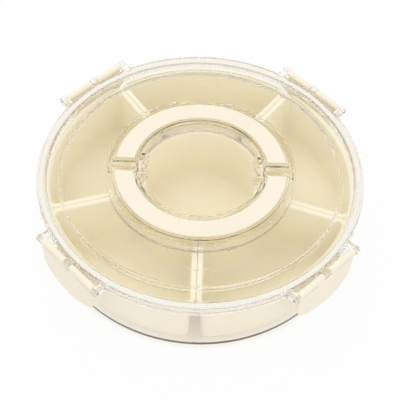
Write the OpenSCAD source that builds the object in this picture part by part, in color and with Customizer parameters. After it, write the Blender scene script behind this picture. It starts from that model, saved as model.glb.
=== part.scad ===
// Round divided storage box with a clear base tray, five lift-out wedge bins, a centre cup,
// a clear lid with a seal and four side latches, and a fold-flat two-part carry handle.
// Origin: centre of the underside. Z is up, X runs along the handle hinge line.

/* [Overall] */
// Outer diameter of the lid rim
rim_d = 300; // [290:1:330]
// Height of the lid rim above the table
rim_h = 72.5; // [70:0.5:90]

/* [Base tray] */
// How far the foot of the tray lies inside the lid rim
foot_inset = 7.4; // [7:0.5:12]
// Wall thickness of the tray
tray_wall = 1.8; // [1.6:0.1:2.6]
// Floor thickness of the tray
tray_floor = 2.5; // [1.6:0.1:4]
// Radius of the rounded edge between floor and wall
tray_edge_r = 1.5; // [1:0.5:4]
// Thickness of the outer flange that the latches hook under
flange_t = 3.5; // [2.5:0.1:5]
// How far the flange stands out from the tray wall
flange_w = 4; // [3:0.1:5]
// Edge radius of the flange
flange_edge_r = 0.6; // [0.4:0.1:1]
// Radius of the fillet under the flange
flange_root_r = 1.4; // [0.8:0.1:2]

/* [Bins] */
// Number of wedge bins round the cup
bin_count = 5; // [5]
// Height of the bin lips below the lid rim
lip_drop = 12.5; // [12:0.5:16]
// Gap between the lips of neighbouring bins
bin_gap = 0.4; // [0.4:0.1:1]
// Gap between the bin lips and the tray wall
bin_tray_gap = 0.5; // [0.4:0.1:3]
// Width of the out-turned lip
lip_w = 3.4; // [3:0.1:5]
// Thickness of the lip
lip_t = 1.8; // [1.2:0.1:2.4]
// Depth of the turned-down edge of the lip
lip_skirt = 5; // [3:0.5:8]
// Thickness of the turned-down edge of the bin and cup lips
lip_edge_t = 1.3; // [1:0.1:1.6]
// Width of the bevel on the lip edges
lip_soft = 0.5; // [0.3:0.1:0.8]
// Radius of the inner edge of the bin and cup lips
lip_inner_r = 1.4; // [0.8:0.1:1.8]
// Wall thickness of the bins and the cup
bin_wall = 1.5; // [1.2:0.1:2.4]
// Inward lean of each bin wall from lip to floor
bin_draft = 1.4; // [0.6:0.1:2.5]
// Radius where bin walls meet the floor, outside
bin_floor_r = 10; // [6:0.5:12]
// Plan radius of the outer lip corners
outer_corner_r = 10; // [7:0.5:14]
// Plan radius of the inner lip corners
inner_corner_r = 8; // [7:0.5:10]

/* [Centre cup] */
// Outer diameter of the cup rim
cup_d = 118; // [110:1:126]
// Inward lean of the cup wall from rim to floor
cup_draft = 2.2; // [1:0.1:4]
// Radius where the cup wall meets its floor, outside
cup_floor_r = 7; // [4:0.5:10]
// Width of the cup's out-turned lip
cup_lip_w = 2.6; // [2:0.1:4]
// Depth of the turned-down edge of the cup lip
cup_skirt = 3.5; // [2.5:0.5:8]
// Gap between the cup rim and the bin lips
cup_gap = 1.2; // [0.8:0.1:2]

/* [Lid] */
// Width of the channel between the panel and the rim
channel_w = 11; // [8:0.5:16]
// Height of the lid panel above the lid rim
panel_rise = 2.3; // [1:0.1:4]
// Wall thickness of the lid
lid_wall = 2; // [1.6:0.1:2.2]
// Width of the raised rim
rim_w = 9; // [8.6:0.1:10]
// Depth of the channel between panel and rim
channel_depth = 5; // [4:0.1:5.5]
// Depth of the rim skirt
skirt_depth = 7; // [6.5:0.1:8]
// Radius of the channel's inside corners
channel_r = 2.5; // [1:0.1:3]
// Radius of the panel edge
panel_edge_r = 2.5; // [1:0.1:3]

/* [Handle pockets] */
// Outer diameter of the two half-ring pockets
pocket_d = 170.6; // [168:0.2:176]
// Inner diameter of the two half-ring pockets
pocket_inner_d = 114; // [112:0.5:115]
// Depth of the pockets below the lid rim
pocket_depth = 8.6; // [8.4:0.1:8.8]
// Width of the bridge between the two pockets
bridge_w = 4.6; // [4:0.2:5.6]
// Depth of the finger scoops below the panel
scoop_depth = 5.5; // [3:0.5:7]
// Width of the finger scoops at the panel
scoop_w = 54; // [40:1:58]
// Distance of the scoop centres outside the pocket wall
scoop_out = 0.7; // [0.3:0.1:3]
// Length of the hinge bosses behind the pocket wall
boss_l = 1.4; // [1.2:0.1:3]
// Wall of the hinge bosses round the pin
boss_wall = 1.6; // [1.2:0.1:2]

/* [Handles] */
// Gap between the outer pocket wall and the handle frames
frame_gap_out = 3.5; // [3:0.1:5]
// Gap between the inner pocket wall and the handle frames
frame_gap_in = 2.4; // [1.8:0.1:3]
// Gap between the bridge and the handle frame ends
frame_end_gap = 2.3; // [1.7:0.1:2.7]
// Height of the handle frames
frame_h = 6.8; // [6:0.1:7.2]
// Wall thickness of the handle frames
frame_wall = 1.8; // [1.4:0.1:2]
// How far the handle frames stand above the panel
frame_proud = 0.1; // [0:0.1:0.6]
// Width of the clear edge outside the handle covers
cover_rim_out = 2.8; // [2.2:0.1:3.6]
// Width of the clear edge inside the handle covers
cover_rim_in = 2.3; // [2:0.1:3]
// Width of the clear edge at the cover ends
cover_rim_end = 3.4; // [2.8:0.1:5]
// Thickness of the handle covers
cover_t = 2.3; // [1.8:0.1:2.8]
// How far the covers stand above the panel
cover_proud = 0.8; // [0.4:0.1:1.2]
// Edge radius of the handle frames and covers
handle_edge_r = 0.8; // [0.5:0.1:1]
// Diameter of the cover pegs
peg_d = 3; // [2.4:0.1:3.6]
// Length of the cover pegs
peg_l = 2.6; // [2:0.1:3]
// Angle between neighbouring cover pegs
peg_spread = 65; // [40:1:70]
// Distance of each hinge axis from the handle frame ends
hinge_inset = 5.4; // [5:0.1:6]
// Radius of the hinge knuckles
knuckle_r = 3.9; // [3:0.1:4]
// Depth of the knuckles below the panel
knuckle_drop = 0.2; // [0.1:0.1:0.5]
// How far the knuckles reach inward from the inner pocket wall
knuckle_reach = 5; // [4.6:0.2:8]

/* [Latches] */
// Width of a latch
latch_w = 67; // [60:1:70]
// Height of a latch below the lid rim
latch_h = 41; // [36:0.5:46]
// Distance of the latch hinge axis outside the lid rim
latch_reach = 4.5; // [4.2:0.1:6]
// Depth of the latch hinge axis below the lid rim
latch_axis_drop = 2.6; // [2.2:0.1:3.2]
// Radius of the latch barrels
barrel_r = 3.2; // [2.8:0.1:3.6]
// Radius of the lid lugs
lug_r = 3.7; // [3.3:0.1:4]
// Thickness of the middle lug
mid_lug_w = 7.2; // [5:0.2:9]
// Thickness of the end lugs
end_lug_w = 5.6; // [4:0.2:7]
// How far the lug webs lie inside the edges of the rim skirt
lug_inset = 0.6; // [0.3:0.1:1]
// How far the latch plate lies inside the outside of its barrels
plate_set = 0.8; // [0.4:0.1:1]
// Thickness of the latch plate
plate_t = 2.2; // [1.8:0.1:2.4]
// Height of the flared grip edge
grip_h = 11; // [8:0.5:14]
// How far the grip edge flares outward
grip_flare = 2; // [1:0.1:3]
// Corner radius of the latch plate
latch_corner_r = 10; // [6:0.5:14]
// Radius of the curved bottom edge
latch_bottom_r = 56; // [50:1:80]
// Length of the relief slots
relief_l = 17.3; // [12:0.1:18]
// Height of the relief slots
relief_h = 1.2; // [1:0.1:2]
// Depth of the relief slots below the lid rim
relief_drop = 5.8; // [5.6:0.1:8]
// Distance of the relief slots from the latch ends
relief_edge = 4; // [3:0.1:6]
// How far the hook reaches under the flange
hook_reach = 2.8; // [2:0.1:3.2]
// Thickness of the hook shelf
hook_t = 2.4; // [1.8:0.1:3]
// Width of the hook shelf
hook_w = 52; // [40:1:58]
// Height of the ribs that brace the hook shelf
rib_h = 12; // [8:0.5:14]
// Thickness of the ribs
rib_t = 1.6; // [1.2:0.1:2]
// Distance of the ribs behind the hook edge
rib_setback = 6.2; // [5:0.1:7]
// Number of ribs
rib_count = 4; // [2:1:6]
// Thickness of the cheeks along the plate sides
cheek_t = 1.8; // [1.4:0.1:2.4]
// How far the cheeks stand in from the plate
cheek_w = 3; // [2:0.1:4]
// Gap between the cheeks and the lid lugs
cheek_gap = 3; // [2:0.1:5]

/* [Pins and fits] */
// Diameter of the hinge pins
pin_d = 2.4; // [2:0.1:2.8]
// Clearance between parts that rest on each other
seat_gap = 0.3; // [0.25:0.05:0.4]
// Radial clearance of a pin that turns in its bore
run_fit = 0.06; // [0.04:0.01:0.1]
// Radial clearance of a pin that is held in its bore
hold_fit = 0.02; // [0.01:0.01:0.03]
// Side clearance between hinged parts
side_gap = 0.5; // [0.4:0.05:0.8]
// Side clearance of a cover in its frame
cover_gap = 0.2; // [0.1:0.05:0.3]
// How far a hinge pin stops short of the end of its bore
pin_end_gap = 0.6; // [0.4:0.1:1]

/* [Seal] */
// Height of the seal ring
seal_h = 2.4; // [2:0.1:2.6]
// Clearance on each side of the seal ring in its groove
seal_side = 0.3; // [0.25:0.05:0.5]
// Edge radius of the seal ring
seal_r = 0.8; // [0.4:0.1:1]

/* [Hidden] */
$fn = 96;
eps = 0.01;
cut = 1;
big = 400;

clear_tint = [0.86, 0.88, 0.90, 0.4];
cream = [0.96, 0.93, 0.83];
cream_bin = [0.92, 0.87, 0.72];
seal_white = [0.93, 0.93, 0.92];

rim_r = rim_d / 2;
rim_in = rim_r - rim_w;
panel_r = rim_in - channel_w;
panel_z = rim_h + panel_rise;
channel_z = rim_h - channel_depth;
groove_in = rim_in + lid_wall;
groove_out = rim_r - lid_wall;
skirt_z = rim_h - skirt_depth;

// The tray hangs its flange just under the lid skirt and its mouth just under the seal
floor_r = rim_r - foot_inset;
flange_top = skirt_z - seat_gap;
flange_z = flange_top - flange_t;
tray_r = rim_r - flange_w;
mouth_z = rim_h - lid_wall - seat_gap - seal_h - seat_gap;
tray_slope = (tray_r - floor_r) / (flange_z - tray_edge_r);
tray_root_r = tray_edge_r + tray_wall / 4;

// The bins stand on the tray floor, with their lips round the cup and inside the tray wall
lip_z = rim_h - lip_drop;
bin_z = tray_floor + seat_gap;
bin_step = 360 / bin_count;
bin_phase = -90 + bin_step / 2;
bin_out = tray_r - tray_wall - tray_slope * (flange_z - lip_z + lip_skirt) - bin_tray_gap;
cup_r = cup_d / 2;
bin_in = cup_r + cup_gap;
fillet_steps = 4;
arc_steps = 12;
corner_steps = 5;
sharp_r = 0.4;

pocket_r = pocket_d / 2;
pocket_ir = pocket_inner_d / 2;
pocket_z = rim_h - pocket_depth;
bridge_half = bridge_w / 2;
scoop_r = (pow(scoop_w / 2, 2) + pow(scoop_depth, 2)) / (2 * scoop_depth);

// Each handle frame lies in its pocket and each cover lies in its frame
frame_r = pocket_r - frame_gap_out;
frame_ir = pocket_ir + frame_gap_in;
frame_end = bridge_half + frame_end_gap;
frame_top = panel_z + frame_proud;
frame_z = frame_top - frame_h;
cover_r = frame_r - cover_rim_out;
cover_ir = frame_ir + cover_rim_in;
cover_end = frame_end + cover_rim_end;
cover_top = panel_z + cover_proud;
cover_z = cover_top - cover_t;
peg_r = (cover_r + cover_ir) / 2;
peg_angles = [90 - peg_spread, 90, 90 + peg_spread];

hinge_y = frame_end + hinge_inset;
hinge_z = panel_z - knuckle_drop - knuckle_r;
knuckle_x = pocket_ir - knuckle_reach;
recess_x = knuckle_x - side_gap;
recess_half = knuckle_r + side_gap;
boss_x = recess_x - lid_wall - boss_l;
pin_in_x = boss_x + pin_end_gap;
pin_bore_x = frame_ir - frame_wall;
pin_out_x = pin_bore_x - pin_end_gap;

// Latches hang from the lid lugs, hook under the tray flange and share one plan on the +X side
latch_half = latch_w / 2;
latch_axis_r = rim_r + latch_reach;
latch_z = rim_h - latch_axis_drop;
latch_bottom = rim_h - latch_h;
plate_out = latch_axis_r + barrel_r - plate_set;
plate_in = plate_out - plate_t;
hook_top = flange_z - seat_gap;
hook_in = tray_r + flange_w - hook_reach;
relief_z = rim_h - relief_drop;
latch_bottom_z = latch_bottom + latch_bottom_r;
latch_corner_u = latch_half - latch_corner_r;
latch_corner_z = latch_bottom_z - chord_x(latch_bottom_r - latch_corner_r, latch_corner_u);
relief_u = latch_half - relief_edge - relief_l;
lug_root_r = rim_r - lid_wall / 2;
lug_inner_r = rim_r - 0.85 * lid_wall;
end_lug_u = latch_half + side_gap;
latch_pin_l = 2 * (end_lug_u + end_lug_w + pin_end_gap / 2);
latch_angles = [45, 135, 225, 315];

// The place along X where a circle of radius r passes the tangent distance u
function chord_x(r, u) = sqrt(r * r - u * u);

// A rectangle with four equal round corners
module round_rect(x0, y0, x1, y1, r) {
    translate([x0 + r, y0]) square([x1 - x0 - 2 * r, y1 - y0]);
    translate([x0, y0 + r]) square([x1 - x0, y1 - y0 - 2 * r]);
    for (x = [x0 + r, x1 - r], y = [y0 + r, y1 - r]) translate([x, y]) circle(r);
}

// A plain rectangle between two corners
module rect(x0, y0, x1, y1) {
    translate([x0, y0]) square([x1 - x0, y1 - y0]);
}

// A quarter disc about (x, y) on the side of (sx, sy)
module corner(x, y, r, sx, sy) {
    intersection() {
        translate([x, y]) circle(r);
        rect(min(x, x + sx * r), min(y, y + sy * r), max(x, x + sx * r), max(y, y + sy * r));
    }
}

// A concave fillet: fills the corner at (x, y), opening towards (sx, sy)
module fillet(x, y, r, sx, sy) {
    difference() {
        rect(min(x, x + sx * r), min(y, y + sy * r), max(x, x + sx * r), max(y, y + sy * r));
        translate([x + sx * r, y + sy * r]) circle(r);
    }
}

// A flat ring between two radii and two heights
module tube(r0, r1, z0, z1) {
    rotate_extrude() rect(r0, z0, r1, z1);
}

// The half of space with y above y0
module half(y0) {
    translate([-big / 2, y0, -big / 2]) cube(big);
}

// A cylinder along X between two places
module rod_x(x0, x1, y, z, r) {
    translate([x0, y, z]) rotate([0, 90, 0]) cylinder(r = r, h = x1 - x0);
}

// A cylinder about the latch hinge axis between two tangent distances
module rod_u(u0, u1, r) {
    translate([latch_axis_r, u0, latch_z]) rotate([-90, 0, 0]) cylinder(r = r, h = u1 - u0);
}

// A block between two corners
module block(a, b) {
    translate(a) cube(b - a);
}

// ---------- base tray ----------

module tray_profile() {
    rect(0, 0, floor_r - tray_edge_r, tray_floor);
    corner(floor_r - tray_edge_r, tray_edge_r, tray_edge_r, 1, -1);
    polygon([[floor_r - tray_wall, tray_edge_r], [floor_r, tray_edge_r],
             [tray_r, flange_z], [tray_r, mouth_z], [tray_r - tray_wall, mouth_z],
             [tray_r - tray_wall, flange_z]]);
    fillet(floor_r - tray_wall + tray_slope * (tray_floor + tray_root_r - tray_edge_r), tray_floor,
           tray_root_r, -1, 1);
    round_rect(tray_r - 2 * flange_edge_r, flange_z, tray_r + flange_w, flange_top, flange_edge_r);
    fillet(tray_r - 2 * tray_slope * flange_root_r, flange_z, flange_root_r, 1, -1);
}

module base_tray() {
    color(clear_tint) rotate_extrude($fn = 180) tray_profile();
}

// ---------- wedge bins ----------

// Points of an arc about a centre, from one angle to another
function arc(c, r, a0, a1, n) =
    [for (i = [0:n]) c + r * [cos(a0 + (a1 - a0) * i / n), sin(a0 + (a1 - a0) * i / n)]];

// Plan outline of a bin, moved inward by e from the lip edge
function wedge(e) =
    let (h = bin_step / 2, s = bin_gap / 2 + e, ro = bin_out - e, ri = bin_in + e,
         co = max(outer_corner_r - e, sharp_r), ci = max(inner_corner_r - e, sharp_r),
         bo = h - asin((s + co) / (ro - co)), bi = h - asin((s + ci) / (ri + ci)),
         po = (ro - co) * [cos(bo), sin(bo)], pi = (ri + ci) * [cos(bi), sin(bi)])
    concat(arc([po.x, -po.y], co, -h - 90, -bo, corner_steps),
           [for (i = [1:arc_steps - 1]) let (a = -bo + 2 * bo * i / arc_steps) ro * [cos(a), sin(a)]],
           arc(po, co, bo, h + 90, corner_steps),
           arc(pi, ci, h + 90, bi + 180, corner_steps),
           [for (i = [1:arc_steps / 2 - 1]) let (a = bi - 4 * bi * i / arc_steps) ri * [cos(a), sin(a)]],
           arc([pi.x, -pi.y], ci, 180 - bi, 270 - h, corner_steps));

// Inset and height pairs of a quarter-round between wall and floor
function floor_round(e, z, r) =
    [for (i = [0:fillet_steps]) let (a = 90 * i / fillet_steps) [e + r - r * sin(a), z + r - r * cos(a)]];

// Inset and height pairs of the round that turns from the lip's top down into the bin
function mouth_round(e, r) =
    [for (i = [0:fillet_steps]) let (a = 90 * i / fillet_steps) [e - r + r * sin(a), lip_z - r + r * cos(a)]];

// The bin's section from the underside, out round the lip and down the inside to the floor
function bin_section() =
    let (under = lip_w + bin_draft, b = lip_soft,
         inner = floor_round(under + bin_wall, bin_z + bin_wall, bin_floor_r - bin_wall))
    concat(floor_round(under, bin_z, bin_floor_r),
           [[lip_w, lip_z - lip_t], [lip_edge_t, lip_z - lip_t], [lip_edge_t, lip_z - lip_skirt],
            [0, lip_z - lip_skirt], [0, lip_z - b], [b, lip_z]],
           mouth_round(lip_w + bin_wall, lip_inner_r),
           [for (i = [fillet_steps:-1:0]) inner[i]]);

// One bin on the +X side, lofted through its section
module wedge_bin() {
    section = bin_section();
    rings = [for (p = section) [for (q = wedge(p[0])) [q.x, q.y, p[1]]]];
    n = len(rings[0]);
    m = len(rings);
    polyhedron(
        points = [for (ring = rings) each ring],
        faces = concat(
            [[for (i = [0:n - 1]) i]],
            [for (k = [0:m - 2], i = [0:n - 1], t = [0, 1])
                let (j = (i + 1) % n, a = k * n + i, b = k * n + j, c = a + n, d = b + n)
                t == 0 ? [a, c, b] : [b, c, d]],
            [[for (i = [n - 1:-1:0]) (m - 1) * n + i]]));
}

module bin(k) {
    color(cream_bin) rotate(bin_phase + k * bin_step) wedge_bin();
}

// ---------- centre cup ----------

module cup_profile() {
    wall_r = cup_r - cup_lip_w;
    foot_r = wall_r - cup_draft;
    bend_x = foot_r - cup_floor_r;
    bend_z = bin_z + cup_floor_r;
    rect(0, bin_z, bend_x, bin_z + bin_wall);
    difference() {
        corner(bend_x, bend_z, cup_floor_r, 1, -1);
        translate([bend_x, bend_z]) circle(cup_floor_r - bin_wall);
    }
    polygon([[foot_r - bin_wall, bend_z], [foot_r, bend_z],
             [wall_r, lip_z - lip_t], [wall_r - bin_wall, lip_z - lip_t]]);
    rect(wall_r - bin_wall + lip_inner_r, lip_z - lip_t, cup_r - lip_edge_t, lip_z);
    rect(wall_r - bin_wall, lip_z - lip_t, wall_r - bin_wall + lip_inner_r, lip_z - lip_inner_r);
    corner(wall_r - bin_wall + lip_inner_r, lip_z - lip_inner_r, lip_inner_r, -1, 1);
    rect(cup_r - lip_edge_t, lip_z - cup_skirt, cup_r, lip_z - lip_edge_t);
    corner(cup_r - lip_edge_t, lip_z - lip_edge_t, lip_edge_t, 1, 1);
}

module centre_cup() {
    color(cream_bin) rotate_extrude($fn = 144) cup_profile();
}

// ---------- lid ----------

module lid_profile() {
    under = panel_z - lid_wall;
    er = panel_edge_r;
    rect(0, under, panel_r - er, panel_z);
    corner(panel_r - er, panel_z - er, er, 1, 1);
    rect(panel_r - lid_wall, channel_z - lid_wall, panel_r, panel_z - er);
    rect(panel_r, channel_z - lid_wall, rim_in, channel_z);
    fillet(panel_r, channel_z, channel_r, 1, 1);
    fillet(rim_in, channel_z, channel_r, -1, 1);
    rect(rim_in, channel_z - lid_wall, groove_in, rim_h - lid_wall);
    corner(groove_in, rim_h - lid_wall, lid_wall, -1, 1);
    corner(groove_out, rim_h - lid_wall, lid_wall, 1, 1);
    rect(groove_in, rim_h - lid_wall, groove_out, rim_h);
    rect(groove_out, skirt_z, rim_r, rim_h - lid_wall);
}

// The two finger scoops, as balls that dip into the panel
module scoop_balls(grow) {
    for (s = [-1, 1]) translate([0, s * (pocket_r + scoop_out), panel_z - scoop_depth + scoop_r])
        sphere(scoop_r + grow, $fn = 120);
}

// Outside of the handle pockets, hanging below the panel
module pocket_bodies() {
    body_top = panel_z - lid_wall / 2;
    tube(pocket_ir - lid_wall, pocket_r + lid_wall, pocket_z - lid_wall, body_top);
    intersection() {
        scoop_balls(lid_wall);
        tube(pocket_r + lid_wall / 2, panel_r - panel_edge_r - lid_wall, pocket_z - lid_wall, body_top);
    }
    for (turn = [0, 180], sx = [-1, 1]) rotate(turn) {
        x0 = recess_x - lid_wall;
        block([sx > 0 ? x0 : -pocket_ir, hinge_y - recess_half - lid_wall, pocket_z - lid_wall],
              [sx > 0 ? pocket_ir : -x0, hinge_y + recess_half + lid_wall, body_top]);
        rod_x(sx > 0 ? boss_x : -x0 - lid_wall / 2, sx > 0 ? x0 + lid_wall / 2 : -boss_x,
              hinge_y, hinge_z, pin_d / 2 + boss_wall);
    }
}

// Inside of the handle pockets, with their hinge recesses
module pocket_spaces() {
    for (s = [0, 180]) rotate(s) intersection() {
        tube(pocket_ir, pocket_r, pocket_z, panel_z + cut);
        half(bridge_half);
    }
    for (turn = [0, 180], sx = [-1, 1]) rotate(turn)
        block([sx > 0 ? recess_x : -pocket_ir - cut, hinge_y - recess_half, pocket_z],
              [sx > 0 ? pocket_ir + cut : -recess_x, hinge_y + recess_half, panel_z + cut]);
    scoop_balls(0);
}

// The three lugs that carry one latch, on the +X side
module latch_lugs() {
    difference() {
        for (u = [[-mid_lug_w / 2, mid_lug_w / 2], [end_lug_u, end_lug_u + end_lug_w],
                  [-end_lug_u - end_lug_w, -end_lug_u]]) {
            rod_u(u[0], u[1], lug_r);
            block([chord_x(lug_root_r, max(abs(u[0]), abs(u[1]))), u[0], skirt_z + lug_inset],
                  [latch_axis_r, u[1], rim_h - lug_inset]);
        }
        cylinder(r = lug_inner_r, h = rim_h + cut, $fn = 180);
        rod_u(-latch_w, latch_w, pin_d / 2 + hold_fit);
    }
}

module lid() {
    color(clear_tint) difference() {
        union() {
            rotate_extrude($fn = 180) lid_profile();
            pocket_bodies();
            for (a = latch_angles) rotate(a) latch_lugs();
        }
        pocket_spaces();
        for (turn = [0, 180], sx = [-1, 1]) rotate(turn)
            rod_x(sx > 0 ? boss_x - cut : -recess_x - cut, sx > 0 ? recess_x + cut : -boss_x + cut,
                  hinge_y, hinge_z, pin_d / 2 + run_fit);
    }
}

module lid_seal() {
    top = rim_h - lid_wall - seat_gap;
    color(seal_white) rotate_extrude($fn = 180)
        round_rect(groove_in + seal_side, top - seal_h, groove_out - seal_side, top, seal_r);
}

// ---------- latches ----------

// Section of the latch plate with its barrel and flared grip edge
module latch_section() {
    grip_z = latch_bottom + grip_h;
    translate([latch_axis_r, latch_z]) circle(barrel_r);
    rect(plate_in, grip_z, plate_out, latch_z);
    polygon([[plate_in, grip_z + eps], [plate_out, grip_z + eps],
             [plate_out + grip_flare, latch_bottom + cut], [plate_out + grip_flare, latch_bottom - cut],
             [plate_in + grip_flare, latch_bottom - cut]]);
}

// Front outline of the latch plate, its curved bottom edge running round into the sides
module latch_outline() {
    rect(-latch_half, latch_corner_z, latch_half, latch_z + barrel_r + cut);
    for (s = [-1, 1]) translate([s * latch_corner_u, latch_corner_z]) circle(latch_corner_r);
    intersection() {
        translate([0, latch_bottom_z]) circle(latch_bottom_r, $fn = 180);
        polygon([[0, latch_bottom_z], [-2 * latch_corner_u, 2 * latch_corner_z - latch_bottom_z],
                 [2 * latch_corner_u, 2 * latch_corner_z - latch_bottom_z]]);
    }
}

// The hook shelf that passes under the tray flange, with its ribs
module latch_hook() {
    difference() {
        block([chord_x(hook_in, hook_w / 2) - cut, -hook_w / 2, hook_top - hook_t],
              [plate_in + eps, hook_w / 2, hook_top]);
        cylinder(r = hook_in, h = rim_h, $fn = 180);
    }
    for (i = [0:rib_count - 1])
        translate([0, rib_t - hook_w / 2 + i * (hook_w - rib_t) / (rib_count - 1), 0])
            rotate([90, 0, 0]) linear_extrude(rib_t)
                polygon([[plate_in + eps, hook_top - rib_h], [plate_in + eps, hook_top - hook_t / 2],
                         [hook_in + rib_setback, hook_top - hook_t / 2],
                         [hook_in + rib_setback, hook_top - hook_t]]);
}

// One latch on the +X side
module latch_body() {
    cheek_z = latch_corner_z;
    notch = mid_lug_w / 2 + side_gap;
    difference() {
        union() {
            intersection() {
                translate([0, latch_half, 0]) rotate([90, 0, 0]) linear_extrude(latch_w) latch_section();
                translate([latch_axis_r - big / 2, 0, 0])
                    rotate([90, 0, 90]) linear_extrude(big) latch_outline();
            }
            for (s = [-1, 1])
                block([plate_in - cheek_w, s > 0 ? latch_half - cheek_t : -latch_half, cheek_z],
                      [plate_in + eps, s > 0 ? latch_half : cheek_t - latch_half, latch_z - lug_r - cheek_gap]);
            latch_hook();
        }
        block([latch_axis_r - barrel_r - cut, -notch, latch_z - lug_r - side_gap],
              [plate_out + cut, notch, latch_z + barrel_r + cut]);
        for (s = [-1, 1])
            block([plate_in - cut, s > 0 ? relief_u : -relief_u - relief_l, relief_z - relief_h / 2],
                  [plate_out + cut, s > 0 ? relief_u + relief_l : -relief_u, relief_z + relief_h / 2]);
        rod_u(-latch_half - cut, latch_half + cut, pin_d / 2 + run_fit);
    }
}

module latch(k) {
    color(cream) rotate(latch_angles[k]) latch_body();
}

module latch_pin(k) {
    color(clear_tint) rotate(latch_angles[k]) rod_u(-latch_pin_l / 2, latch_pin_l / 2, pin_d / 2);
}

// ---------- handles ----------

// A flat-bottomed half-ring section with rounded top edges
module soft_band(r0, r1, z0, z1) {
    e = handle_edge_r;
    rect(r0, z0, r1, z1 - e);
    rect(r0 + e, z0, r1 - e, z1);
    for (r = [r0 + e, r1 - e]) translate([r, z1 - e]) circle(e);
}

// Section of the handle frame: a channel, open below
module frame_section() {
    difference() {
        soft_band(frame_ir, frame_r, frame_z, frame_top);
        rect(frame_ir + frame_wall, frame_z - cut, frame_r - frame_wall, cover_z - frame_wall);
    }
}

// One handle frame on the +Y side, with its knuckles and the seat for its cover
module frame_body() {
    difference() {
        union() {
            intersection() {
                rotate_extrude($fn = 144) frame_section();
                half(frame_end);
            }
            intersection() {
                tube(frame_ir, frame_r, frame_z, frame_top);
                block([-big / 2, frame_end, 0], [big / 2, frame_end + frame_wall, big]);
            }
            for (s = [-1, 1])
                rod_x(s > 0 ? knuckle_x : -frame_ir - handle_edge_r,
                      s > 0 ? frame_ir + handle_edge_r : -knuckle_x, hinge_y, hinge_z, knuckle_r);
        }
        intersection() {
            tube(cover_ir - cover_gap, cover_r + cover_gap, cover_z, panel_z + frame_h);
            half(cover_end - cover_gap);
        }
        for (a = peg_angles) rotate(a) translate([peg_r, 0, 0])
            cylinder(d = peg_d + 2 * run_fit, h = big, $fn = 32);
        for (s = [-1, 1])
            rod_x(s > 0 ? knuckle_x - cut : -pin_bore_x, s > 0 ? pin_bore_x : cut - knuckle_x,
                  hinge_y, hinge_z, pin_d / 2 + hold_fit);
    }
}

// One handle cover on the +Y side, with its three pegs
module cover_body() {
    intersection() {
        rotate_extrude($fn = 144) soft_band(cover_ir, cover_r, cover_z, cover_top);
        half(cover_end);
    }
    for (a = peg_angles) rotate(a) translate([peg_r, 0, cover_z - peg_l])
        cylinder(d = peg_d, h = peg_l + cover_t / 2, $fn = 32);
}

// The two hinge pins of one handle, on the +Y side
module handle_pin_pair() {
    for (s = [-1, 1])
        rod_x(s > 0 ? pin_in_x : -pin_out_x, s > 0 ? pin_out_x : -pin_in_x, hinge_y, hinge_z, pin_d / 2);
}

module handle_frame(turn) {
    color(clear_tint) rotate(turn) frame_body();
}

module handle_cover(turn) {
    color(cream) rotate(turn) cover_body();
}

module handle_pins(turn) {
    color(clear_tint) rotate(turn) handle_pin_pair();
}

base_tray();
bin(0);  // bin_front_right
bin(1);  // bin_right
bin(2);  // bin_rear
bin(3);  // bin_left
bin(4);  // bin_front_left
centre_cup();
lid();
lid_seal();
latch(0);  // latch_rear_right
latch(1);  // latch_rear_left
latch(2);  // latch_front_left
latch(3);  // latch_front_right
latch_pin(0);  // latch_pin_rear_right
latch_pin(1);  // latch_pin_rear_left
latch_pin(2);  // latch_pin_front_left
latch_pin(3);  // latch_pin_front_right
handle_frame(0);  // rear_handle_frame
handle_cover(0);  // rear_handle_cover
handle_pins(0);  // rear_handle_pins
handle_frame(180);  // front_handle_frame
handle_cover(180);  // front_handle_cover
handle_pins(180);  // front_handle_pins
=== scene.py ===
"""Finishes, light and camera for a round divided box with a clear lid and a fold-flat handle."""

import logging
import math
from dataclasses import dataclass
from enum import Enum
from typing import Optional, Sequence, Union

import bmesh
import bpy
from mathutils import Matrix, Vector


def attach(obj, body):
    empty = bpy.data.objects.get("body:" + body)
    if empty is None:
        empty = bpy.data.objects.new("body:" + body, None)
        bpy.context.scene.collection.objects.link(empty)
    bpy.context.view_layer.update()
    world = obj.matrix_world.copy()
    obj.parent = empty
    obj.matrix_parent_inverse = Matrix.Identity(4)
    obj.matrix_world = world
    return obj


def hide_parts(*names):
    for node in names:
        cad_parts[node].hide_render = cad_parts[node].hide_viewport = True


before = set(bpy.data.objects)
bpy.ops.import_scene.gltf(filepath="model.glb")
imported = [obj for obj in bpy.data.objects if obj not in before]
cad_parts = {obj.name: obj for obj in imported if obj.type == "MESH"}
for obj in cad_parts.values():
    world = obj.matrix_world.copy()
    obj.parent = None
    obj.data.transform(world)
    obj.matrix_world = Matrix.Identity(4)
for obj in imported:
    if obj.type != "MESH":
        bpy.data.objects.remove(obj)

log = logging.getLogger("divided_box")

Number = Union[float, "Signal"]
Colour = tuple[float, float, float]
Point = tuple[float, float]
Place = tuple[float, float, float]

WHITE: Colour = (1.0, 1.0, 1.0)
MM = 0.001
CORNERS = ("rear_right", "rear_left", "front_left", "front_right")
SIDES = ("rear", "front")

# The curve between a screen's colour values and linear light
SCREEN_TOP = 255
DARK_LIMIT = 0.04045
DARK_SLOPE = 12.92
CURVE_SHIFT = 0.055
CURVE_POWER = 2.4

# Sockets of the Mix node that carry colours
MIX_FIRST, MIX_SECOND, MIX_RESULT = 6, 7, 2

# How many times a ray may bounce, which clear walls behind clear walls need
BOUNCES = 28


def linear(red: int, green: int, blue: int) -> Colour:
    """Turns a screen colour of 0 to 255 into linear light."""
    parts = (red / SCREEN_TOP, green / SCREEN_TOP, blue / SCREEN_TOP)
    return tuple(
        c / DARK_SLOPE
        if c <= DARK_LIMIT
        else ((c + CURVE_SHIFT) / (1 + CURVE_SHIFT)) ** CURVE_POWER
        for c in parts
    )


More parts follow.
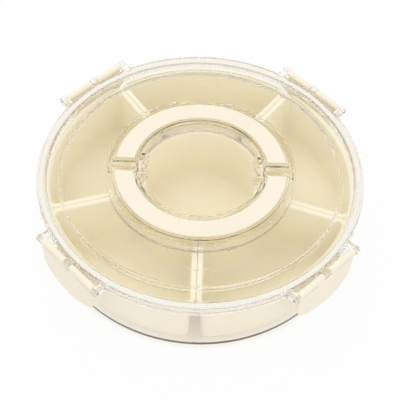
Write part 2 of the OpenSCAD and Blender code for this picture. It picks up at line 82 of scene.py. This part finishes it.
def arc(centre: Point, radius: float, start: float, end: float, steps: int) -> list[Point]:
    """Samples an arc.

    Args:
        centre: its centre.
        radius: its radius.
        start: the angle of its first point, in degrees.
        end: the angle of its last point, in degrees.
        steps: how many equal parts it has.

    Returns:
        steps + 1 points.
    """
    angles = (math.radians(start + (end - start) * k / steps) for k in range(steps + 1))
    return [(centre[0] + radius * math.cos(a), centre[1] + radius * math.sin(a)) for a in angles]


class Slot(Enum):
    """The material slots of the record."""

    CLEAR = "clear_plastic"
    BIN = "bin_plastic"
    CREAM = "cream_plastic"
    SEAL = "seal_silicone"


class Ray(Enum):
    """What Light Path tells about a ray."""

    CAMERA = "Is Camera Ray"
    DEPTH = "Ray Depth"
    SHADOW = "Is Shadow Ray"
    DIFFUSE = "Is Diffuse Ray"
    GLOSSY = "Is Glossy Ray"
    THROUGH = "Is Transmission Ray"


@dataclass(frozen=True)
class Pattern:
    """A pattern of noise: its spots per metre, and how many finer layers lie over them."""

    scale: float
    layers: float


class Signal:
    """A value, colour or vector on its way through a node tree."""

    def __init__(self, graph: "Graph", socket: bpy.types.NodeSocket) -> None:
        """Wraps an output socket.

        Args:
            graph: the node tree that the socket belongs to.
            socket: the output socket.
        """
        self.graph = graph
        self.socket = socket

    def __add__(self, other: Number) -> "Signal":
        """self + other."""
        return self.graph.maths("ADD", self, other)

    def __sub__(self, other: Number) -> "Signal":
        """self - other."""
        return self.graph.maths("SUBTRACT", self, other)

    def __rsub__(self, other: Number) -> "Signal":
        """other - self."""
        return self.graph.maths("SUBTRACT", other, self)

    def __mul__(self, other: Number) -> "Signal":
        """self * other."""
        return self.graph.maths("MULTIPLY", self, other)

    __radd__ = __add__
    __rmul__ = __mul__


class Graph:
    """The node tree of a material or a world."""

    def __init__(self, owner: Union[bpy.types.Material, bpy.types.World]) -> None:
        """Empties the owner's node tree.

        Args:
            owner: the material or world to build in.
        """
        owner.use_nodes = True
        self.tree = owner.node_tree
        self.tree.nodes.clear()

    def node(self, kind: str, inputs: dict, settings: Optional[dict] = None) -> bpy.types.Node:
        """Adds one node.

        Args:
            kind: the node's type.
            inputs: the value, or the Signal to link, of each socket by name or number.
            settings: properties of the node.

        Returns:
            The new node.
        """
        made = self.tree.nodes.new(kind)
        for name, value in (settings or {}).items():
            setattr(made, name, value)
        for key, value in inputs.items():
            if isinstance(value, Signal):
                self.tree.links.new(value.socket, made.inputs[key])
            else:
                made.inputs[key].default_value = value
        return made

    def out(
        self,
        kind: str,
        inputs: dict,
        settings: Optional[dict] = None,
        output: Union[int, str] = 0,
    ) -> Signal:
        """Adds one node and returns one of its outputs.

        Args:
            kind: the node's type.
            inputs: the values or links of its sockets.
            settings: properties of the node.
            output: the name or number of the output.

        Returns:
            The output as a Signal.
        """
        return Signal(self, self.node(kind, inputs, settings).outputs[output])

    def maths(self, operation: str, first: Number, second: Number) -> Signal:
        """Adds one Math node and returns its result."""
        return self.out("ShaderNodeMath", {0: first, 1: second}, {"operation": operation})

    def place(self) -> Signal:
        """The point on the surface, in metres in the piece's own frame."""
        return self.out("ShaderNodeTexCoord", {}, output="Object")

    def radius(self) -> Signal:
        """How far the point on the surface is from the origin, in metres."""
        length = {"operation": "LENGTH"}
        return self.out("ShaderNodeVectorMath", {0: self.place()}, length, "Value")

    def noise(self, pattern: Pattern) -> Signal:
        """Smooth noise over the surface, a value about 0.5."""
        inputs = {"Vector": self.place(), "Scale": pattern.scale, "Detail": pattern.layers}
        return self.out("ShaderNodeTexNoise", inputs)

    def span(
        self, signal: Signal, low: float, high: float, start: float = 0.3, end: float = 0.7
    ) -> Signal:
        """Maps the part of a signal between start and end onto low to high."""
        ends = {"From Min": start, "From Max": end, "To Min": low, "To Max": high}
        return self.out("ShaderNodeMapRange", {"Value": signal, **ends})

    def blend(
        self, factor: Number, first: Union[Colour, Signal], second: Union[Colour, Signal]
    ) -> Signal:
        """Mixes two colours."""
        one, other = (c if isinstance(c, Signal) else (*c, 1) for c in (first, second))
        inputs = {0: factor, MIX_FIRST: one, MIX_SECOND: other}
        return self.out("ShaderNodeMix", inputs, {"data_type": "RGBA"}, MIX_RESULT)

    def bump(self, height: Signal, strength: float, distance: float) -> Signal:
        """Turns a height in 0 to 1 into a bent normal, distance being its depth in metres."""
        inputs = {"Height": height, "Strength": strength, "Distance": distance}
        return self.out("ShaderNodeBump", inputs)

    def path(self, ray: Ray) -> Signal:
        """One answer of Light Path."""
        return self.out("ShaderNodeLightPath", {}, output=ray.value)

    def transparent(self, colour: Colour) -> Signal:
        """A shader that lets rays straight through and tints them."""
        return self.out("ShaderNodeBsdfTransparent", {"Color": (*colour, 1)})

    def mix_shaders(self, factor: Number, first: Signal, second: Signal) -> Signal:
        """Mixes two shaders."""
        return self.out("ShaderNodeMixShader", {0: factor, 1: first, 2: second})

    def finish(self, shader: Signal) -> None:
        """Links a shader to the output."""
        owner = "World" if shader.socket.node.type == "BACKGROUND" else "Material"
        self.node(f"ShaderNodeOutput{owner}", {"Surface": shader})


@dataclass(frozen=True)
class ClearPlastic:
    """Polished clear moulded plastic, with a faint haze and the slow ripple of a moulded wall.

    A ray that still runs inside the plastic after that many bounces passes straight out with a
    fixed painted tint, which stands in for the light and shade it would still pick up.
    """

    name: str
    slot: Slot = Slot.CLEAR
    tint: Colour = (0.992, 0.985, 0.965)
    cloud: Colour = (0.988, 0.98, 0.958)
    clouds: Pattern = Pattern(18, 2)
    ior: float = 1.38
    clearness: float = 0.96
    haze: float = 0.15
    least_haze_share: float = 0.7
    smears: Pattern = Pattern(90, 4)
    ripples: Pattern = Pattern(14, 0)
    ripple_strength: float = 0.2
    ripple: float = 0.00001
    # Painted tint for rays trapped in the plastic, in place of the light and shade they would
    # pick up.
    trapped_tint: Colour = (0.9, 0.86, 0.79)
    trapped_depth: float = 5.5

    def make(self) -> bpy.types.Material:
        """Builds the material.

        Returns:
            Glass that lets lamps and diffuse light straight through to what is behind it.
        """
        material = bpy.data.materials.new(self.name)
        graph = Graph(material)
        clouds = graph.span(graph.noise(self.clouds), 0.0, 1.0)
        least_haze = self.haze * self.least_haze_share
        ripples = graph.noise(self.ripples)
        glass = graph.out(
            "ShaderNodeBsdfPrincipled",
            {
                "Base Color": graph.blend(clouds, self.tint, self.cloud),
                "Roughness": graph.span(graph.noise(self.smears), least_haze, self.haze),
                "IOR": self.ior,
                "Transmission Weight": self.clearness,
                "Normal": graph.bump(ripples, self.ripple_strength, self.ripple),
            },
        )
        open_way = graph.transparent(tuple(math.sqrt(c) for c in self.tint))
        # Rays that bounced too often pass straight out with the painted tint.
        trapped = graph.maths("GREATER_THAN", graph.path(Ray.DEPTH), self.trapped_depth)
        seen = graph.mix_shaders(trapped, glass, graph.transparent(self.trapped_tint))
        inner = graph.mix_shaders(graph.path(Ray.DIFFUSE), seen, open_way)
        graph.finish(graph.mix_shaders(graph.path(Ray.SHADOW), inner, open_way))
        return material


@dataclass(frozen=True)
class SatinPlastic:
    """Coloured moulded plastic with a fine satin grain, flow clouds and light rubbing."""

    name: str
    slot: Slot
    colour: Colour
    cloud: Colour
    clouds: Pattern = Pattern(18, 3)
    cloud_start: float = 0.35
    cloud_end: float = 0.65
    roughness: float = 0.34
    rub: float = 0.03
    rubs: Pattern = Pattern(70, 2)
    ior: float = 1.46
    shine: float = 0.45
    grains: Pattern = Pattern(2600, 1)
    grain_strength: float = 0.5
    grain: float = 0.00003

    def make(self) -> bpy.types.Material:
        """Builds the material.

        Returns:
            The plastic, with its colour, roughness and grain varied over the surface.
        """
        material = bpy.data.materials.new(self.name)
        graph = Graph(material)
        clouds = graph.span(graph.noise(self.clouds), 0.0, 1.0, self.cloud_start, self.cloud_end)
        smooth, rough = self.roughness - self.rub, self.roughness + self.rub
        grains = graph.noise(self.grains)
        shader = graph.out(
            "ShaderNodeBsdfPrincipled",
            {
                "Base Color": graph.blend(clouds, self.colour, self.cloud),
                "Roughness": graph.span(graph.noise(self.rubs), smooth, rough),
                "IOR": self.ior,
                "Specular IOR Level": self.shine,
                "Normal": graph.bump(grains, self.grain_strength, self.grain),
            },
        )
        graph.finish(shader)
        return material


@dataclass(frozen=True)
class Silicone:
    """Milky silicone rubber of the seal ring."""

    name: str = "Seal_silicone"
    slot: Slot = Slot.SEAL
    colour: Colour = (0.87, 0.855, 0.81)
    dust_gain: float = 1.06
    dust: Pattern = Pattern(400, 4)
    clean_roughness: float = 0.45
    dusty_roughness: float = 0.62
    pores: Pattern = Pattern(1500, 2)
    pore_strength: float = 0.4
    pore: float = 0.00003

    def make(self) -> bpy.types.Material:
        """Builds the material.

        Returns:
            A soft, slightly dusty rubber.
        """
        material = bpy.data.materials.new(self.name)
        graph = Graph(material)
        dust = graph.span(graph.noise(self.dust), 0.0, 1.0)
        pale = tuple(min(1.0, c * self.dust_gain) for c in self.colour)
        rough = graph.span(dust, self.clean_roughness, self.dusty_roughness, 0.0, 1.0)
        pores = graph.noise(self.pores)
        shader = graph.out(
            "ShaderNodeBsdfPrincipled",
            {
                "Base Color": graph.blend(dust, self.colour, pale),
                "Roughness": rough,
                "Normal": graph.bump(pores, self.pore_strength, self.pore),
            },
        )
        graph.finish(shader)
        return material


class Finish(Enum):
    """What each kind of piece is made of."""

    TRAY = ClearPlastic("Clear_tray", ior=1.45, haze=0.06)
    LID = ClearPlastic("Clear_lid")
    HANDLE = ClearPlastic("Clear_handle", haze=0.1)
    BIN = SatinPlastic(
        "Bin_cream", Slot.BIN, colour=linear(255, 248, 222), cloud=linear(253, 244, 216)
    )
    # The covers' cream is painted a little darker than the latches' cream, though both are one
    # plastic: painted shade that offsets the stronger light on the flat covers.
    COVER = SatinPlastic(
        "Cream_cover",
        Slot.CREAM,
        colour=linear(247, 239, 220),
        cloud=linear(245, 236, 216),
        roughness=0.3,
    )
    LATCH = SatinPlastic(
        "Cream_latch",
        Slot.CREAM,
        colour=linear(251, 243, 223),
        cloud=linear(248, 239, 218),
        roughness=0.3,
    )
    SEAL = Silicone()


class Palette:
    """Makes each finish once and paints pieces with it."""

    def __init__(self) -> None:
        """Starts with nothing made."""
        self.made: dict[Finish, bpy.types.Material] = {}

    def paint(self, piece: bpy.types.Object, finish: Finish) -> None:
        """Gives a piece one finish all over.

        Args:
            piece: the piece to paint.
            finish: what it is made of.
        """
        if finish not in self.made:
            self.made[finish] = finish.value.make()
        piece.data.materials.clear()
        piece.data.materials.append(self.made[finish])


@dataclass
class SubAssembly:
    """Pieces of the box that belong together."""

    palette: Palette
    weld_reach: float = 1e-6
    flat_angle: float = 0.5
    fold_angle: float = 40.0
    round_steps: int = 2

    def paint_node(self, name: str, finish: Finish) -> bpy.types.Object:
        """Paints one CAD node and reports it.

        Args:
            name: the node.
            finish: what it is made of.

        Returns:
            The node's object.
        """
        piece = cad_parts[name]
        self.palette.paint(piece, finish)
        log.info("%s dressed in %s", name, finish.value.name)
        return piece

    def soften(self, piece: bpy.types.Object, radius: float) -> None:
        """Rounds the sharp edges of a piece a little, as moulded edges are.

        Args:
            piece: the piece.
            radius: the radius of the rounding, in metres.
        """
        weld = piece.modifiers.new("Weld", "WELD")
        weld.merge_threshold = self.weld_reach
        flat = piece.modifiers.new("Flat_faces", "DECIMATE")
        flat.decimate_type = "DISSOLVE"
        flat.angle_limit = math.radians(self.flat_angle)
        bevel = piece.modifiers.new("Soft_edges", "BEVEL")
        bevel.width, bevel.segments = radius, self.round_steps
        bevel.limit_method = "ANGLE"
        bevel.angle_limit = math.radians(self.fold_angle)


@dataclass
class TrayBase(SubAssembly):
    """The clear round base that holds the bins."""

    def build(self) -> None:
        """Dresses the base."""
        self.paint_node("base_tray", Finish.TRAY)


@dataclass
class WedgeBins(SubAssembly):
    """The five lift-out bins, lofted smoothly from the underside over the lip, in millimetres."""

    places: Sequence[str] = ("front_right", "right", "rear", "left", "front_left")
    first_turn: float = -54.0
    outer_r: float = 143.32
    inner_r: float = 60.2
    gap: float = 0.4
    lip_z: float = 60.0
    lip_w: float = 3.4
    lip_t: float = 1.8
    lip_skirt: float = 5.0
    lip_edge_t: float = 1.3
    lip_soft: float = 0.5
    mouth_r: float = 1.4
    wall: float = 1.5
    draft: float = 1.4
    floor_z: float = 2.8
    floor_r: float = 10.0
    outer_corner_r: float = 10.0
    inner_corner_r: float = 8.0
    least_corner_r: float = 2.0
    corner_steps: int = 12
    outer_steps: int = 48
    inner_steps: int = 24
    lip_steps: int = 4
    mouth_steps: int = 6
    crease: float = 35.0

    def outline(self, inset: float) -> list[Point]:
        """One level line of a bin that points along +X.

        Args:
            inset: how far inside the lip's outline it lies.

        Returns:
            Its points, the same number for every inset.
        """
        half = 180 / len(self.places)
        side = self.gap / 2 + inset
        outer, inner = self.outer_r - inset, self.inner_r + inset
        out_r = max(self.outer_corner_r - inset, self.least_corner_r)
        in_r = max(self.inner_corner_r - inset, self.least_corner_r)
        out_at = half - math.degrees(math.asin((side + out_r) / (outer - out_r)))
        in_at = half - math.degrees(math.asin((side + in_r) / (inner + in_r)))
        ox, oy = ((outer - out_r) * f(math.radians(out_at)) for f in (math.cos, math.sin))
        ix, iy = ((inner + in_r) * f(math.radians(in_at)) for f in (math.cos, math.sin))
        n = self.corner_steps
        return (
            arc((ox, -oy), out_r, -half - 90, -out_at, n)
            + arc((0, 0), outer, -out_at, out_at, self.outer_steps)[1:-1]
            + arc((ox, oy), out_r, out_at, half + 90, n)
            + arc((ix, iy), in_r, half + 90, in_at + 180, n)
            + arc((0, 0), inner, in_at, -in_at, self.inner_steps)[1:-1]
            + arc((ix, -iy), in_r, 180 - in_at, 270 - half, n)
        )

    def section(self) -> list[Point]:
        """The wall's section from the underside over the lip to the inside floor.

        Returns:
            Pairs of inset and height.
        """
        top, soft = self.lip_z, self.lip_soft
        foot = (self.lip_w + self.draft + self.floor_r, self.floor_z + self.floor_r)
        mouth = (self.lip_w + self.wall - self.mouth_r, top - self.mouth_r)
        n = self.corner_steps
        return (
            arc(foot, self.floor_r, 270, 180, n)
            + [(self.lip_w, top - self.lip_t), (self.lip_edge_t, top - self.lip_t)]
            + [(self.lip_edge_t, top - self.lip_skirt), (0.0, top - self.lip_skirt)]
            + arc((soft, top - soft), soft, 180, 90, self.lip_steps)
            + arc(mouth, self.mouth_r, 90, 0, self.mouth_steps)
            + arc(foot, self.floor_r - self.wall, 180, 270, n)
        )

    def loft(self, name: str, turn: float) -> bpy.types.Object:
        """Lofts one bin.

        Args:
            name: the name of the new piece.
            turn: where the bin points, in degrees from +X.

        Returns:
            The new piece, a closed solid.
        """
        mesh, shape = bpy.data.meshes.new(name), bmesh.new()
        rings = []
        for inset, height in self.section():
            points = (Vector((x, y, height)) * MM for x, y in self.outline(inset))
            rings.append([shape.verts.new(point) for point in points])
        count = len(rings[0])
        for low, high in zip(rings, rings[1:]):
            for k in range(count):
                after = (k + 1) % count
                shape.faces.new((low[k], low[after], high[after], high[k]))
        shape.faces.new(reversed(rings[0]))
        shape.faces.new(rings[-1])
        spin = Matrix.Rotation(math.radians(turn), 3, "Z")
        bmesh.ops.rotate(shape, verts=shape.verts, matrix=spin)
        bmesh.ops.recalc_face_normals(shape, faces=shape.faces)
        shape.to_mesh(mesh)
        shape.free()
        mesh.shade_smooth()
        mesh.set_sharp_from_angle(angle=math.radians(self.crease))
        piece = bpy.data.objects.new(name, mesh)
        bpy.context.collection.objects.link(piece)
        return piece

    def build(self) -> None:
        """Lofts the bins and puts each in the place of its node."""
        for k, place in enumerate(self.places):
            piece = self.loft(f"Wedge_bin_{place}", self.first_turn + k * 360 / len(self.places))
            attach(piece, f"{place}_bin")
            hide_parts(f"bin_{place}")
            self.palette.paint(piece, Finish.BIN)
            log.info("%s lofted", piece.name)


@dataclass
class CentreCup(SubAssembly):
    """The round cup in the middle."""

    def build(self) -> None:
        """Dresses the cup."""
        self.paint_node("centre_cup", Finish.BIN)


@dataclass
class Lid(SubAssembly):
    """The clear lid with its seal ring and the pins that hold the latches."""

    def build(self) -> None:
        """Dresses the lid, the seal and the pins."""
        self.paint_node("lid", Finish.LID)
        self.paint_node("lid_seal", Finish.SEAL)
        for corner in CORNERS:
            self.paint_node(f"latch_pin_{corner}", Finish.LID)


@dataclass
class Latches(SubAssembly):
    """The four snap latches."""

    edge_r: float = 0.0005

    def build(self) -> None:
        """Dresses the latches and softens their edges."""
        for corner in CORNERS:
            self.soften(self.paint_node(f"latch_{corner}", Finish.LATCH), self.edge_r)


@dataclass
class Handle(SubAssembly):
    """The two handle halves, each a clear frame with a cream cover and a pair of pins."""

    edge_r: float = 0.0004

    def build(self) -> None:
        """Dresses both halves and softens the edges of their covers."""
        for side in SIDES:
            self.paint_node(f"{side}_handle_frame", Finish.HANDLE)
            self.soften(self.paint_node(f"{side}_handle_cover", Finish.COVER), self.edge_r)
            self.paint_node(f"{side}_handle_pins", Finish.HANDLE)


@dataclass(frozen=True)
class Lamp:
    """One soft square lamp that only lights, and shows in no reflection or clear wall.

    Its side and places are in metres, and its power is in watts.
    """

    name: str
    place: Place
    side: float
    power: float
    target: Place = (0, 0, 0.04)

    def build(self) -> None:
        """Hangs the lamp in its place and aims it at its target."""
        data = bpy.data.lights.new(self.name, "AREA")
        data.size, data.energy = self.side, self.power
        lamp = bpy.data.objects.new(self.name, data)
        bpy.context.collection.objects.link(lamp)
        lamp.location = self.place
        gaze = Vector(self.target) - Vector(self.place)
        lamp.rotation_euler = gaze.to_track_quat("-Z", "Y").to_euler()
        lamp.visible_glossy = lamp.visible_transmission = False


@dataclass
class Studio:
    """A pale floor, a white surround and soft lamps."""

    floor_size: float = 12.0
    floor_z: float = -0.0004
    paper: Colour = (0.86, 0.86, 0.86)
    pale_paper: Colour = (0.9, 0.9, 0.9)
    specks: Pattern = Pattern(60, 3)
    white_share: float = 0.94
    # Inside these radii under the box the floor gets painted shade: a warm colour and less glow,
    # standing in for the box's shadow and the bins' bounce light.
    painted_shade_glow_share: float = 0.56
    painted_shade_r: Point = (0.134, 0.147)
    painted_shade_colour: Colour = linear(246, 235, 216)
    surround: float = 0.85
    lamps: Sequence[Lamp] = (
        Lamp("Lamp_top", (-0.5, 0.7, 1.6), 1.4, 6.3),
        Lamp("Lamp_front", (0.7, -1.3, 1.1), 1.2, 3.2),
    )

    def build(self) -> None:
        """Makes the floor, the surround and the lamps."""
        self.build_floor()
        self.build_world()
        for lamp in self.lamps:
            lamp.build()

    def build_floor(self) -> None:
        """Makes a wide flat floor with a warm painted shade under the box, and white to the eye
        elsewhere.
        """
        mesh = bpy.data.meshes.new("Floor")
        half = self.floor_size / 2
        signs = ((-1, -1), (1, -1), (1, 1), (-1, 1))
        corners = [(x * half, y * half, self.floor_z) for x, y in signs]
        mesh.from_pydata(corners, [], [(0, 1, 2, 3)])
        floor = bpy.data.objects.new("Floor", mesh)
        bpy.context.collection.objects.link(floor)
        mesh.materials.append(self.floor_paper())

    def floor_paper(self) -> bpy.types.Material:
        """Builds the floor's material.

        Returns:
            Paper that glows to the eye and in reflections, and is plain paper to other light,
            with a warm painted shade on a disc under the box that stands in for the box's shadow
            and bounce light.
        """
        material = bpy.data.materials.new("Floor_paper")
        graph = Graph(material)
        # Painted shade: a warm disc with less glow under the box, fading out between the two
        # radii.
        clear_of_painted_shade = graph.span(graph.radius(), 0.0, 1.0, *self.painted_shade_r)
        speck = graph.blend(graph.noise(self.specks), self.paper, self.pale_paper)
        lit = graph.blend(clear_of_painted_shade, self.painted_shade_colour, speck)
        paper = graph.out("ShaderNodeBsdfDiffuse", {"Color": lit})
        colour = graph.blend(clear_of_painted_shade, self.painted_shade_colour, WHITE)
        glow = graph.out("ShaderNodeEmission", {"Color": colour, "Strength": 1.0})
        seen = graph.maths("MAXIMUM", graph.path(Ray.CAMERA), graph.path(Ray.GLOSSY))
        share = clear_of_painted_shade * (self.white_share - self.painted_shade_glow_share) + self.painted_shade_glow_share
        graph.finish(graph.mix_shaders(seen * share, paper, glow))
        return material

    def build_world(self) -> None:
        """Makes the surround: white to the eye and in reflections, plainer as a light."""
        world = bpy.data.worlds.new("Surround")
        bpy.context.scene.world = world
        graph = Graph(world)
        seen = graph.path(Ray.CAMERA) + graph.path(Ray.GLOSSY) + graph.path(Ray.THROUGH)
        strength = graph.span(seen, self.surround, 1.0, 0.0, 1.0)
        inputs = {"Color": (*WHITE, 1), "Strength": strength}
        graph.finish(graph.out("ShaderNodeBackground", inputs))


@dataclass
class Viewpoint:
    """The camera, above and in front of the box and slightly rolled.

    Places are in metres, the roll is in degrees, the focal length is in pixels of the picture,
    and the sensor is in millimetres.
    """

    place: Place = (0.0, -0.5455, 0.7174)
    aim: Place = (0.00034, -0.03656, 0.0725)
    roll: float = 2.155
    focal: float = 920.2
    width: int = 400
    sensor: float = 36.0
    nearest: float = 0.01
    farthest: float = 50

    def build(self) -> None:
        """Makes the camera and sets it as the scene's own."""
        data = bpy.data.cameras.new("Camera")
        data.sensor_width = self.sensor
        data.lens = self.sensor * self.focal / self.width
        data.clip_start, data.clip_end = self.nearest, self.farthest
        camera = bpy.data.objects.new("Camera", data)
        bpy.context.collection.objects.link(camera)
        gaze = (Vector(self.aim) - Vector(self.place)).to_track_quat("-Z", "Y")
        roll = Matrix.Rotation(math.radians(self.roll), 4, "Z")
        camera.matrix_world = Matrix.Translation(self.place) @ gaze.to_matrix().to_4x4() @ roll
        bpy.context.scene.camera = camera


def main() -> None:
    """Builds and dresses the box, then its surroundings."""
    logging.basicConfig(level=logging.INFO, format="%(message)s")
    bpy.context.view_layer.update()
    palette = Palette()
    for part in (TrayBase, WedgeBins, CentreCup, Lid, Latches, Handle):
        part(palette).build()
    Viewpoint().build()
    Studio().build()
    scene = bpy.context.scene
    scene.view_settings.view_transform = "Standard"
    cycles = scene.cycles
    cycles.max_bounces = cycles.transmission_bounces = cycles.transparent_max_bounces = BOUNCES


if __name__ == "__main__":
    main()
